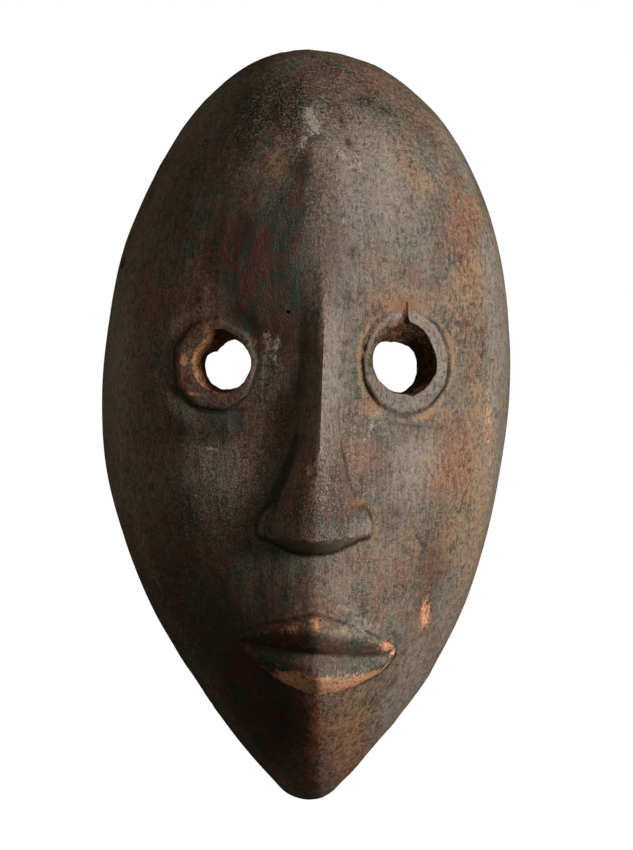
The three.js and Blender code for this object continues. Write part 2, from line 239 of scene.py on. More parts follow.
# Top of the ring round an eye hole: a tilted plane with steep, hewn flanks that meet in corners
def eyeRing(x, y, eye):
    step = eyes["slopeReach"] * eye["width"]
    slopeX = (plainFace(eye["x"] + step, eye["y"]) - plainFace(eye["x"] - step, eye["y"])) / (2 * step)
    slopeY = (plainFace(eye["x"], eye["y"] + step) - plainFace(eye["x"], eye["y"] - step)) / (2 * step)
    height = plainFace(eye["x"], eye["y"]) + ridge(eye["x"], eye["y"]) - eye["sink"]
    top = height + (slopeX + eye["tilt"]) * (x - eye["x"]) + slopeY * (y - eye["y"])
    corners = np.radians(eye["corners"])
    ends = np.append(corners, corners[0] + turn)
    angle = np.arctan2((y - eye["y"]) / eye["height"], (x - eye["x"]) / eye["width"])
    angle = np.where(angle < corners[0], angle + turn, angle)
    flank = np.clip(np.searchsorted(ends, angle) - 1, 0, len(corners) - 1)
    middle, half = (ends[flank + 1] + ends[flank]) / 2, (ends[flank + 1] - ends[flank]) / 2
    facet = eyes["cornerRounding"] + (1 - eyes["cornerRounding"]) * np.cos(half) / np.cos(angle - middle)
    beyond = (eyeReach(x, y, eye) / facet - 1) * eye["width"] / 2
    return top - eyes["edgeDrop"] * blend(-1, 0, beyond) - np.maximum(beyond, 0) * eyes["flankSlope"]


nose = {
    "length": 88, "width": 34, "height": 15, "tip": 84.8, "wingHeight": 6.4, "sag": 2.6, "undercut": 4,
    "evening": 0.6, "flare": 1.2, "flareTop": (0.42, 0.14), "seat": 0.1, "sideEdge": (1.06, 0.97),
    "wingBlend": 0.6, "wingFall": 0.3, "wingTop": (0.17, 0.09), "wingInner": (0.3, 0.7),
    "creasePlace": 0.62, "creaseLean": 1.5, "creaseWidth": 0.05, "creaseDepth": 0.5,
    "creaseTop": (0.16, 0.12),
    # share of the length, half width, height
    "rows": [(0, 1, 1), (0.03, 1, 1.01), (0.065, 0.97, 1), (0.1, 0.9, 0.98), (0.14, 0.75, 0.94),
             (0.215, 0.6, 0.86), (0.29, 0.49, 0.78), (0.38, 0.4, 0.68), (0.5, 0.36, 0.53), (0.63, 0.34, 0.38),
             (0.74, 0.32, 0.25), (0.86, 0.3, 0.12), (1, 0.24, 0)],
}


def nosePlaces(x, y):       # share of the nose's half width, and of the way up from its lower edge
    share = (y + halfLength - nose["tip"]) / nose["length"]
    halfShare = fromRows(nose["rows"], np.maximum(share, 0), 1)
    reach = np.abs(x - crest(y)) / (halfShare * nose["width"] / 2)
    # Only the bridge follows the crest in full
    leaning = x - crest(y) * (1 - nose["evening"] * np.minimum(reach, 1) ** 2)
    reach = np.abs(leaning) / (halfShare * nose["width"] / 2)
    share = share - nose["sag"] / nose["length"] * np.minimum(reach, 1.1) ** 2 * (1 - blend(0, 0.15, share))
    halfShare = fromRows(nose["rows"], np.maximum(share, 0), 1)
    return np.abs(leaning) / (halfShare * nose["width"] / 2), share


def noseRise(x, y):
    reach, share = nosePlaces(x, y)
    onNose = np.maximum(share, 0)
    fullness = 1 + nose["flare"] * blend(*nose["flareTop"], onNose)
    slope = np.minimum(np.hypot(reach, 0.1 + 0.06 * blend(0.4, 0.1, onNose)), 1) ** fullness
    body = nose["height"] * fromRows(nose["rows"], onNose, 2) * (1 - slope)
    wings = (nose["wingHeight"] * (1 - nose["wingFall"] * reach**2) * blend(*nose["wingTop"], onNose)
             * blend(*nose["wingInner"], reach))
    fromCrease = (reach - nose["creasePlace"] - nose["creaseLean"] * (onNose - 0.05)) / nose["creaseWidth"]
    crease = nose["creaseDepth"] * np.exp(-fromCrease**2) * blend(*nose["creaseTop"], onNose)
    rise = softMax(body, wings, nose["wingBlend"]) - nose["seat"] - crease
    below = np.minimum(share, 0) * nose["length"] * nose["height"] / nose["undercut"]
    return np.maximum(rise * blend(*nose["sideEdge"], reach) + below, 0) * blend(1.05, 0.97, onNose)


mouth = {
    "width": 49, "place": 50.5, "offset": 0.9, "upper": 12.4, "lower": 12.3, "rise": 5, "tilt": 0.09,
    "cornerLift": 2.6, "cornerFall": 0.6,
    # share of the way from the outer edge to the slit, share of the rise
    "lowerRows": [(0, 0), (0.06, 0.45), (0.4, 1), (0.72, 0.7), (1, 0.1)],
    "upperRows": [(0, 0), (0.16, 0.82), (0.42, 0.9), (0.8, 0.62), (1, 0.12)],
}


# Share of the mouth's half width, and of the way from either outer edge to the slit
def lipPlaces(x, y):
    middle = mouth["place"] - halfLength
    start = crest(middle)
    reach = np.abs(x - start) / (mouth["width"] / 2)
    for k in range(3):      # the corners are centred beside the crest
        reach = np.abs(x - start - (mouth["offset"] - start) * reach**2) / (mouth["width"] / 2)
        reach = np.minimum(reach, 1)
    level = y + mouth["tilt"] * x - middle
    lift = mouth["cornerLift"]
    slit = lift * (1 - np.sqrt(1 - reach**2))
    upperEdge = mouth["upper"] - (mouth["upper"] - lift) * (0.82 * reach**1.1 + 0.18 * reach**16)
    lowerEdge = (mouth["lower"] + lift) * (0.7 * reach**1.6 + 0.3 * reach**16) - mouth["lower"]
    fromAbove = (upperEdge - level) / np.maximum(upperEdge - slit, 0.2)
    fromBelow = (level - lowerEdge) / np.maximum(slit - lowerEdge, 0.2)
    return reach, fromAbove, fromBelow, level > slit


def lipsRise(x, y):
    reach, fromAbove, fromBelow, isUpper = lipPlaces(x, y)
    upper, lower = fromRows(mouth["upperRows"], fromAbove, 1), fromRows(mouth["lowerRows"], fromBelow, 1)
    rise = mouth["rise"] * np.where(isUpper, upper, lower)
    return rise * (1 - mouth["cornerFall"] * reach**2.2) * blend(1, 0.96, reach)


def face(x, y):
    z = plainFace(x, y) + ridge(x, y) - sockets(x, y)
    for side in ("left", "right"):
        z = softMax(z, eyeRing(x, y, eyes[side]), eyes["seam"])
    return z + noseRise(x, y) + lipsRise(x, y)


# A square grid laid over the round face. Its border is the rim, and the last value says how far a place goes
# with the crest.
def facePlaces(cellsAcross, cellsAlong):
    u, v = np.meshgrid(np.linspace(-1, 1, cellsAcross + 1), np.linspace(-1, 1, cellsAlong + 1))
    p, q = u * np.sqrt(1 - v * v / 2), v * np.sqrt(1 - u * u / 2)
    return np.arctan2(q, p), np.minimum(np.hypot(p, q), 1), (1 - u * u) ** 2 * blend(1, 0.93, np.abs(v))


def gridNormals(points):
    n = np.cross(np.gradient(points, axis=1), np.gradient(points, axis=0))
    return n / np.maximum(np.linalg.norm(n, axis=-1, keepdims=True), 1e-9)


def meshObject(name, points, faces):
    made = bpy.data.meshes.new(name)
    made.from_pydata((np.asarray(points) * mm).tolist(), [], faces)
    made.validate()
    piece = bpy.data.objects.new(name, made)
    bpy.context.scene.collection.objects.link(piece)
    return piece


# Closed block between a grid of points and a flat floor
def blockUnder(name, points, floor):
    rows, columns = points.shape[:2]
    index = np.arange(rows * columns).reshape(rows, columns)
    quads = np.stack([index[:-1, :-1], index[:-1, 1:], index[1:, 1:], index[1:, :-1]], -1)
    quads = quads.reshape(-1, 4).tolist()
    border = np.concatenate([index[0, :-1], index[:-1, -1], index[-1, :0:-1], index[:0:-1, 0]])
    flat = points.reshape(-1, 3)
    if flat[border, 2].max() <= floor + 1e-6:
        return meshObject(name, flat, quads + [border[::-1].tolist()])
    below = flat[border] * (1, 1, 0) + (0, 0, floor)
    foot = np.arange(len(border)) + len(flat)
    sides = np.stack([foot, np.roll(foot, -1), np.roll(border, -1), border], -1).tolist()
    return meshObject(name, np.concatenate([flat, below]), quads + sides + [foot[::-1].tolist()])


print("carving the outside")
relief = {
    "lump": 0.4, "lumpSize": 17, "tool": 0.18, "toolSize": 5, "grain": 0.09, "grainSize": 1.5,
    "pits": 0.12, "pitSize": 1.7, "smoothFoot": 6,
    # nicks and worn hollows: x, y, radius across, radius along, depth
    "dents": [
        (-51.5, 75, 3, 4.5, 2.2), (-60, -34.3, 3, 1.8, 2.4), (-45, 94, 3, 8, 1), (35, -59, 2, 5, 0.7),
        (-3, -14.2, 1.5, 2, 0.7), (-12.5, 24, 2.2, 3, 0.4), (-47, 94, 3, 5, 0.6), (-13, 99, 2.6, 4, 0.5),
        (2, 95, 3, 4, 0.4)],
}


def patches(x, y, spots):       # soft spots of (x, y, radius across, radius along, strength)
    return sum(strength * mound(x, y, *spot) for *spot, strength in spots)


def carvedRelief(x, y, z):      # height of the hand-made unevenness over the true form
    lumps = relief["lump"] * layered(x, y, z, relief["lumpSize"], 11, 2)
    tools = relief["tool"] * layered(x, 0.5 * y, z, relief["toolSize"], 23, 2)
    grain = relief["grain"] * roughness(x, 0.1 * y, z, relief["grainSize"], 31)
    pits = relief["pits"] * np.maximum(roughness(x, 0.7 * y, z, relief["pitSize"], 37) - 0.35, 0)
    return lumps + tools + grain - pits - patches(x, y, relief["dents"])


angle, share, pull = facePlaces(mask["cellsAcross"], mask["cellsAlong"])
radius = rimRadius(angle)
x, y = share * radius * np.cos(angle), share * radius * np.sin(angle)
x += pull * crest(y)
z = np.where(share > mask["rimShare"], 0, face(x, y))
outside = np.stack([x, y, z], -1)
calm = blend(0, relief["smoothFoot"], z)[..., None]      # the foot of the side wall stays true
outside += gridNormals(outside) * carvedRelief(x, y, z)[..., None] * calm
inwards = mask["edgeInset"] * np.clip(1 - outside[..., 2:] / mask["edgeRounding"], 0, 1) ** 2
outside[..., :2] *= 1 - inwards / radius[..., None]
outside[..., 2] = np.maximum(outside[..., 2], 0)
block = blockUnder("carved_mask", outside, 0)


print("cutting the hollow")
hollow = {
    "below": 5, "gouge": 11, "gougeStretch": 1.5, "gougeDepth": 0.9, "gougeLevel": 0.6, "smoothFoot": (1, 10),
    # room behind the nose: share of its height, and its place and spread as shares of the half sizes
    "noseRoom": 0.45, "roomPlace": -0.12, "roomAcross": 0.17, "roomAlong": 0.22,
}


# Scallops left by a curved blade, 0 in the middle of each and 1 at its edge
def gougeMarks(x, y, z, cell, seed):
    px, py, pz = x / cell, y / (hollow["gougeStretch"] * cell), z / cell
    ix, iy, iz = (np.floor(v).astype(np.int64) for v in (px, py, pz))
    nearest = np.full(np.shape(x), 9.0)
    for dx in (-1, 0, 1):
        for dy in (-1, 0, 1):
            for dz in (-1, 0, 1):
                cx, cy, cz = ix + dx, iy + dy, iz + dz
                gap = np.sqrt((px - cx - randomCorner(cx, cy, cz, seed)) ** 2
                              + (py - cy - randomCorner(cx, cy, cz, seed + 7)) ** 2
                              + (pz - cz - randomCorner(cx, cy, cz, seed + 13)) ** 2)
                nearest = np.minimum(nearest, gap)
    return np.clip(nearest, 0, 1)


angle, share, pull = facePlaces(mask["hollowAcross"], mask["hollowAlong"])
radius = rimRadius(angle)
nudge = 0.03
lean = (rimRadius(angle + nudge) - rimRadius(angle - nudge)) / (2 * nudge * radius)
inner = radius - mask["wall"] * np.hypot(1, lean)
x, y = share * radius * np.cos(angle), share * radius * np.sin(angle)
behind = np.where(share > mask["rimShare"], 0, plainFace(x, y))
x, y = share * inner * np.cos(angle), share * inner * np.sin(angle)
room = hollow["noseRoom"] * nose["height"] * mound(
    x, y, 0, along(hollow["roomPlace"]), across(hollow["roomAcross"]), along(hollow["roomAlong"]))
z = behind - mask["wall"] * np.minimum(behind / mask["domeHeight"], 1) + room
inside = np.stack([x, y, z], -1)
marks = hollow["gougeDepth"] * (hollow["gougeLevel"] - gougeMarks(x, y, z, hollow["gouge"], 5) ** 2)
inside += gridNormals(inside) * (marks * blend(*hollow["smoothFoot"], z))[..., None]
hollowBlock = blockUnder("hollow_cut", inside, -hollow["below"])


# Rough tube from rings of (centre, radius across, radius along), for holes that run along z
def roughBore(name, rings, outlineOf, unevenness, seed, sides=72):
    points = []
    for k, (centre, radiusX, radiusY) in enumerate(rings):
        for s in range(sides):
            a = turn * s / sides
            c, d = math.cos(a), math.sin(a)
            bump = 1 + unevenness * float(layered(3 * c, 3 * d, 0.35 * k, 1.4, seed, 3))
            bump *= outlineOf(math.degrees(math.atan2(d, c)), k / (len(rings) - 1))
            points.append((centre[0] + radiusX * bump * c, centre[1] + radiusY * bump * d, centre[2]))
    return tubeMesh(name, points, len(rings), sides)


def tubeMesh(name, points, ringCount, sides):
    faces = [list(range(sides))[::-1], [len(points) - sides + s for s in range(sides)]]
    for k in range(ringCount - 1):
        for s in range(sides):
            t = (s + 1) % sides
            faces.append([k * sides + s, k * sides + t, (k + 1) * sides + t, (k + 1) * sides + s])
    return meshObject(name, points, faces)


# Rough tube between two points, for the small holes. Its rings are (share of the way, radius).
def roughTube(name, start, end, rings, sides, unevenness, seed):
    start, end = Vector(start), Vector(end)
    axis = (end - start).normalized()
    sideways = axis.orthogonal().normalized()
    upwards = axis.cross(sideways)
    points = []
    for k, (way, ringRadius) in enumerate(rings):
        centre = start.lerp(end, way)
        for s in range(sides):
            a = turn * s / sides
            bump = 1 + unevenness * float(roughness(2.2 * math.cos(a), 2.2 * math.sin(a), 0.9 * k, 1, seed))
            outwards = sideways * math.cos(a) + upwards * math.sin(a)
            points.append(tuple(centre + outwards * ringRadius * bump))
    return tubeMesh(name, points, len(rings), sides)


# Middle and radii of a tapered bore, where way is 0 at the back of the wall and 1 at its front
def boreAt(bore, way):
    return (bore["backX"] + (bore["x"] - bore["backX"]) * way,
            bore["backY"] + (bore["y"] - bore["backY"]) * way,
            (bore["backWidth"] + (bore["width"] - bore["backWidth"]) * way) / 2,
            (bore["backWidth"] + (bore["height"] - bore["backWidth"]) * way) / 2)


def boreReach(x, y, z, bore):       # share of the bore's radius, the way, and the middle there
    way = (z - plainFace(bore["x"], bore["y"])) / (mask["wall"] + eyes["boreMargin"]) + 1
    middleX, middleY, radiusX, radiusY = boreAt(bore, np.clip(way, -1, 2))
    return np.hypot((x - middleX) / radiusX, (y - middleY) / radiusY), way, middleX, middleY


def eyeBore(side):
    bore, outline = eyes[side]["bore"], np.array(eyes[side]["outline"])
    top, depth = plainFace(bore["x"], bore["y"]), mask["wall"] + eyes["boreMargin"]
    rings = []
    for way in np.linspace(-1, 2, eyes["boreRings"]):
        middleX, middleY, radiusX, radiusY = boreAt(bore, way)
        rings.append(((middleX, middleY, float(top - depth * (1 - way))), radiusX, radiusY))

    def outlineOf(degrees, share):      # the way is 3 * share - 1
        front = np.interp(degrees, outline[:, 0], outline[:, 1], period=360)
        back = np.interp(degrees, outline[:, 0], outline[:, 2], period=360)
        return back + (front - back) * min(max(3 * share - 1, 0), 1)

    return roughBore(side + "_bore", rings, outlineOf, bore["unevenness"], bore["seed"])


tieHoles = {
    "place": 172.5, "rise": 7, "radius": 1.9, "lean": 0.35, "rings": 30, "sides": 20, "unevenness": 0.12,
}


def tieHole(side):
    height = tieHoles["place"] - halfLength
    near = np.argmin(np.abs(outline[:, 1] - height) + 1e3 * (side * outline[:, 0] < 0))
    x, y = outline[near]
    inwards = Vector((-x, -tieHoles["lean"] * y, 0)).normalized() * 2 * mask["wall"]
    middle = Vector((x, y, tieHoles["rise"]))
    rings = [(way, tieHoles["radius"]) for way in np.linspace(0, 1, tieHoles["rings"])]
    return roughTube("tie_hole", middle - inwards, middle + inwards, rings, tieHoles["sides"],
                     tieHoles["unevenness"], 3 + side)


worm = {
    "x": -9.4, "y": 34.5, "radius": 0.55, "depth": 5, "lean": 0.3, "above": 3,
    "rows": [(0, 0.4), (0.5, 1), (1, 1.2)],         # share of the way, share of the radius
    "sides": 12, "unevenness": 0.15, "seed": 9,
}


def wormHole():
    x, y = worm["x"], worm["y"]
    top = float(face(np.array(x), np.array(y)))
    start, end = (x, y, top - worm["depth"]), (x + worm["lean"], y, top + worm["above"])
    rings = [(way, share * worm["radius"]) for way, share in worm["rows"]]
    return roughTube("worm_hole", start, end, rings, worm["sides"], worm["unevenness"], worm["seed"])


# The crack runs from the top of the right hole, out through the ring and just past it
crack = {
    "width": 2.4, "aside": -0.7, "bend": 0.4, "intoHole": 2, "pastRing": 3,
    "startDepth": 1.8, "endDepth": 0.6,
    # share of the way, share of the width
    "rows": [(0, 0.9), (0.25, 0.75), (0.5, 0.42), (0.75, 0.5), (1, 0.25)],
    "sides": 18, "unevenness": 0.35, "seed": 17,
}


def ringCrack():
    eye = eyes["right"]
    x = eye["x"] + crack["aside"]
    outerY = eye["y"] + eye["height"] / 2
    level = float(plainFace(x, outerY) + ridge(x, outerY))
    holeY = eye["bore"]["y"] + eye["bore"]["height"] / 2
    start = (x, holeY - crack["intoHole"], level - crack["startDepth"])
    end = (x + crack["bend"], outerY + crack["pastRing"], level - crack["endDepth"])
    rings = [(way, share * crack["width"]) for way, share in crack["rows"]]
    return roughTube("ring_crack", start, end, rings, crack["sides"], crack["unevenness"], crack["seed"])


cutters = [hollowBlock, eyeBore("left"), eyeBore("right"), tieHole(-1), tieHole(1), ringCrack(), wormHole()]
for cutter in cutters:
    cut = block.modifiers.new(cutter.name, "BOOLEAN")
    cut.operation, cut.solver, cut.object = "DIFFERENCE", "MANIFOLD", cutter
graph = bpy.context.evaluated_depsgraph_get()
shell = bpy.data.meshes.new_from_object(block.evaluated_get(graph))
block.modifiers.clear()
block.data = shell
for cutter in cutters:
    bpy.data.objects.remove(cutter)
print("mask faces", len(shell.polygons))


print("marking wear")
count = len(shell.vertices)
places, normals = np.empty(count * 3), np.empty(count * 3)
shell.vertices.foreach_get("co", places)
shell.vertices.foreach_get("normal", normals)
places, normals = places.reshape(-1, 3) / mm, normals.reshape(-1, 3)
x, y, z = places.T


def hollowness(reach):          # over 0 in grooves and under 0 on edges
    return (face(x + reach, y) + face(x - reach, y) + face(x, y + reach) + face(x, y - reach)
            - 4 * face(x, y)) / reach**2


def lineMarks(lines):           # marks of (x, y of one end, x, y of the other end, half width, strength)
    total = 0
    for ax, ay, bx, by, half, strength in lines:
        dx, dy = bx - ax, by - ay
        way = np.clip(((x - ax) * dx + (y - ay) * dy) / (dx**2 + dy**2), 0, 1)
        gap = (x - ax - way * dx) ** 2 + (y - ay - way * dy) ** 2
        total = total + strength * np.exp(-gap / half**2)
    return total


# Where the years have marked the wood, with painted shade, painted sheen and painted highlights among the
# marks: soft spots, and lines for scratches and for shaded creases
wear = {
    # black stains, with painted shade beside the nose and on the left of the face
    "black_and_painted_shade": [
        (-14, 98, 7, 6, 2), (-8, 103, 5, 5, 1.7), (16.5, 101, 4, 2.5, 1.2), (-5.5, 79, 3, 5, 1.8),
        (-8.6, 66, 3.5, 6, 1.8), (-10, 59, 5, 6, 1.6), (-26.5, 50.5, 8, 7, 1.4), (-22, 88, 4, 7, 1),
        (-6, 93, 2.5, 6, 1.2), (23, 98, 3, 2, 0.9), (27.3, 34.5, 1, 3, 1.4), (2, 110, 20, 7, 0.4),
        (-24, 62, 7, 20, 0.6), (-22, 47, 9, 9, 0.6), (-5, 26, 5, 22, 0.6), (-12.5, 24, 4, 5, 0.9),
        (4, -20, 4, 12, 0.8), (-22, -72, 12, 5, 0.5), (-10, -92, 10, 14, 0.8), (9, 38, 4, 16, 0.4),
        (-33, -3, 14, 4, 0.6), (-40, -28, 5, 14, 0.6), (-12, 5, 7, 6, 0.7), (24, -28, 5, 5, 0.5),
        (-46, -52, 10, 18, 0.7), (13, -27, 3, 2.5, 0.7), (38, 66, 4, 8, 0.5), (30, -2, 8, 2.5, 0.4),
        (-32, -66, 12, 12, 0.9), (-12, -98, 8, 14, 0.8), (12, 54, 5, 12, 0.5), (12, -64, 10, 3.5, 0.2),
        (12, -74, 9, 3, 0.6)],
    # grey film, with painted sheen and painted highlights on the lit planes and along the side walls
    "film_and_painted_sheen": [
        (20, 74, 12, 20, 0.9), (10, 48, 4, 22, 0.9), (2.6, 4, 5, 24, 0.9), (33, 36, 13, 5, 0.5),
        (-30, 80, 10, 14, 0.3), (-60, 20, 6, 45, 1), (60, 26, 5, 36, 1), (1, 92, 5, 8, 1),
        (14, 82, 7, 12, 1.4), (-33, 100, 8, 8, 1.2), (-41, 96, 5, 8, 0.8), (-1.5, 94, 2.5, 4, 0.8),
        (44, 90, 5, 9, 0.8), (50, 78, 4, 10, 0.8), (-25, 107, 6, 5, 0.9), (5, 22, 4, 16, 0.8),
        (27, -20, 9, 9, 0.6), (-45, 94, 2.5, 6, 1.2), (9, -76, 8, 2.5, 0.6), (14, -64, 8, 4, 0.5),
        (-15.5, 15, 1.6, 14, 0.7), (31, -6, 9, 7, 0.5), (-36, -14, 15, 10, 1), (0, -31, 12, 3, 0.9),
        (9, -78.5, 3.5, 1, 1), (62, -4, 4, 60, 0.7), (14, -31, 5, 3, 0.9), (-10, -44, 22, 10, 0.4),
        (44, -52, 5, 16, 0.9), (33, -76, 5, 12, 0.9), (30, -86, 6, 10, 0.9), (25, -92, 5, 8, 0.8),
        (56, -20, 5, 26, 1.3), (50, -46, 4, 14, 0.9), (12, 81, 4, 6, 0.8), (55, 51, 4, 14, 0.8),
        (31, -11, 7, 9, 0.6), (45, -62, 5, 10, 1), (38, -84, 4, 10, 1), (11, -62.5, 8, 2.2, 0.9),
        (33, -93, 4, 8, 1), (-1.5, 14, 2, 14, 0.8)],
    "red": [
        (-38, 38, 14, 9, 0.8), (-52, 20, 3, 8, 0.8), (-48, 34, 5, 6, 0.7), (-47, -12, 5, 10, 0.8),
        (-44, 2, 6, 4, 0.6), (50, 52, 7, 22, 0.6), (36, -14, 5, 6, 0.7), (46, -12, 5, 10, 0.6),
        (42, -34, 5, 12, 0.7), (45, 66, 6, 8, 0.6), (12, -100, 9, 16, 0.7), (-12, -64, 10, 5, 1),
        (-10, 78, 5, 7, 0.6), (-30, 66, 4, 6, 0.5), (-26, 86, 6, 5, 0.4), (12, 80, 5, 5, 0.5),
        (28, 78, 8, 10, 0.4), (-8, -62, 8, 5, 0.8), (22, -8, 4, 12, 0.2), (14, -12, 3, 8, 0.2),
        (-9, -22, 3, 6, 0.8), (26, 48, 14, 10, 0.3), (18, -55, 8, 10, 0.3), (-3, -50, 4, 8, 0.5),
        (54, -10, 3, 26, 0.5), (-34, 30, 12, 4, 0.9), (-1, -98, 2.6, 14, 1.3), (8, -98, 7, 14, 0.9),
        (-2, -50, 2, 8, 0.8), (42, -14, 9, 9, 0.7)],
    "dust": [
        (-12, 81, 3, 5, 1), (-31, 69, 2, 3, 0.9), (-20, 78, 3, 3, 0.7), (-38, 50, 2.5, 4, 0.6),
        (27, 83, 6, 6, 0.6), (10.5, 81.5, 4, 4, 0.6), (22, 47.7, 5, 5, 0.5), (35, 74, 5, 5, 0.7),
        (53, 68, 2.5, 5, 0.9), (43, 88, 3, 8, 0.5), (-26, 96, 5, 5, 0.5), (43, 26, 3, 6, 0.8),
        (37, 4, 7, 3, 0.6), (18.5, -28, 1.5, 5, 1), (13, -23.5, 2.4, 1.4, 1.2), (17.5, -33, 1.4, 4, 0.8),
        (30, -37, 4, 5, 0.7), (43, -38, 3, 4, 0.8), (48, -30, 2.5, 6, 0.8), (25, 39, 7, 2.5, 0.8),
        (14, 18, 1.6, 12, 0.6), (17, 5, 4, 3, 1), (-6, -11, 1.2, 5, 0.6), (11, -7, 1.5, 6, 0.6),
        (45, 42, 6, 8, 0.4), (-38, 60, 3, 8, 0.4), (51, 5, 2.5, 9, 0.8), (12, -94, 9, 14, 0.8),
        (48, -41, 8, 20, 0.7), (50, 46, 7, 16, 0.6), (30, 38, 10, 4, 0.6), (40, -12, 10, 10, 0.5),
        (54, -14, 5, 30, 0.8)],
    "bare": [
        (35.3, -59, 1.6, 4.8, 1.3), (56, 2, 1.5, 12, 0.6), (58, -18, 1.5, 12, 0.4),
        (-40.6, 19.8, 1.3, 2.6, 1.2), (-37.6, 9.5, 2, 1.2, 0.9), (-3, -13.6, 1.3, 1.8, 1.2),
        (22, -68.5, 2.4, 2, 1.1), (-0.8, -60.5, 1.5, 3, 0.9), (-9, -62.5, 3, 1, 0.7),
        (9, -62.5, 4, 0.8, 0.6)],
    # painted shade
    "shade": [
        (-24, 62, 20, 38, 0.8), (-8, 100, 18, 12, 0.6), (-32, -62, 14, 22, 1.1), (-14, -96, 12, 22, 1.7),
        (-14, -66, 12, 10, 0.7), (-6, 18, 6, 18, 0.4), (-24, 12, 16, 18, 0.4), (-50, 10, 8, 30, 0.4),
        (-12, -40, 16, 10, 0.6), (5, -18, 5, 14, 0.6), (-46, -40, 10, 20, 0.7), (12, -70, 12, 7, 0.4),
        (8, -100, 9, 16, 0.3), (-15.5, 46, 11, 19, 2), (-31, 0, 14, 7, 1.2), (-10, 33, 7, 10, 1),
        (-21, 44, 8, 14, 0.6), (-20, -82, 14, 16, 1.2), (-12, -48, 14, 12, 0.8), (38, -45, 8, 12, 0.9),
        (20, -17, 4, 12, 0.4), (32, 44, 9, 9, 0.4), (10, 17, 2.5, 12, 0.4), (4, -29, 11, 5, 1),
        (-8, 72, 5, 10, 0.7), (5, 56, 5, 16, 0.6), (-7, -24, 4, 8, 0.6), (-9, -67, 9, 5, 0.5)],
    "rust": [
        (43, 70, 1.5, 3, 0.8), (50, 70, 1.5, 3, 0.9), (32.5, 93, 1.5, 1.5, 0.8), (-26.5, 98.5, 2.5, 2, 0.8),
        (26.3, 36, 5, 1.6, 0.8), (25.5, 28.5, 6.5, 3.2, 1.2), (17.5, 7, 3.5, 3, 0.9), (41, 24, 2, 4, 0.7),
        (-33, 28, 5, 3, 0.8), (-40, 14, 4, 4, 0.4), (12.6, -24, 3, 1.5, 0.9), (-10, -24, 1.5, 3, 0.6),
        (0.2, -98, 1.8, 18, 1.3), (27.3, 37, 4, 1.4, 1), (-5, -5, 1.4, 4, 0.7)],
    "pitted": [
        (0, -29, 13, 8, 1), (-5, 100, 26, 14, 0.8), (-15, 14, 5, 16, 0.7), (-30, -22, 18, 24, 0.6),
        (-8, 70, 12, 24, 0.5), (-40, 20, 14, 30, 0.4), (4, -14, 8, 14, 0.6)],
    # light scratches, with painted highlights on the lower lip and the forehead
    "lineMarks": [
        (-33.5, -7.2, -30.6, -7.6, 0.45, 1.2), (-41, -6, -34, -7, 0.3, 0.6),
        (-1.6, 96.5, -0.2, 91, 2, 0.95), (-3.5, 88, -5, 85, 1, 0.4), (4.6, -57.6, 15.6, -64, 0.35, 0.5),
        (5.6, -54.6, 18, -62.6, 0.3, 0.4), (9, -56.5, 21, -63, 0.3, 0.4), (-15.5, 27, -16.5, 13, 1.3, 0.6),
        (-12.5, 26, -13, 20, 1, 0.5), (-3.2, -13, -2.8, -14.4, 1, 1), (18.5, 3.4, 14.6, -6, 0.7, 0.4),
        (6.4, 78, 8, 60, 0.5, 0.4), (9, 83, 13, 80, 2.5, 0.5), (3, -78.3, 9, -77.6, 0.8, 0.8),
        (9, -77.6, 15, -75.5, 0.7, 0.5)],
    # painted shade along the side of the nose, the socket rims and other creases
    "crease_painted_shade": [
        (0.2, 90, -4.6, 78, 3, 0.5), (-4.6, 78, -5.4, 66, 3, 0.6), (-5.4, 66, -9, 57, 3.4, 0.6),
        (-2.6, 96, 0.2, 90, 2.4, 0.5), (-5, -4, -16.4, -28, 2, 0.9), (-38, 6.6, -22, 4.6, 1, 0.9),
        (-44, 12, -38, 6.6, 0.9, 0.8), (24, 0.4, 38, -1, 1, 0.6), (-44, -1, -20, -3, 1.4, 0.5),
        (-43, 33, -36, 38.5, 1, 0.6), (-36, 38.5, -26, 39, 1, 0.6), (-10, 91, -13, 99, 1.6, 0.8),
        (7, 100, 11, 84, 1.4, 0.5), (7.1, 15.4, 8.6, 25.2, 1.2, 0.5), (8.6, 25.2, 14.1, 32.3, 1.2, 0.45)],
}

# Marks that follow the carving, with painted shade, a painted shadow and painted light among them. A pair
# says where a mark begins and where it is full.
marking = {
    "facingIn": (0.05, -0.15), "behindFace": (0.2, 2),
    "rawFrom": (-0.1, 0.02), "rawTo": (0.47, 0.36), "rawFall": 0.3, "rawLeft": (-17, -9), "ragged": 0.09,
    "cornerLips": (-0.2, 0.1), "cornerSide": (17, 19), "cornerEnd": (0.9, 0.96),
    "lipShade": 0.9, "shadeSlit": (-0.05, 0.1), "shadeTop": (0.3, 0.6),
    "facingAxis": (0.1, 0.45), "boreSide": (1.35, 1.25), "boreBack": -0.4,
    "tanAndLightLeft": (-22, -31), "tanAndLightTop": (28.5, 26), "ringEdge": (1.02, 0.97),
    "dustPlace": 1.13, "dustWidth": 0.05, "dustStrength": 0.75,
    "shadowPlace": 1.05, "shadowWidth": 0.05, "shadowStrength": 1.1, "shadowBelow": (2, -5),
    "shadowLeft": (-20, -32), "hollowReach": 1.2, "mouthHollows": 0.5, "edgeStrength": 1.4,
    "aboveFoot": (3, 8),
}
facingOut = (places * normals).sum(1) / np.linalg.norm(places + 1e-6, axis=1)
isInside = blend(*marking["facingIn"], facingOut) * blend(*marking["behindFace"], face(x, y) - z)
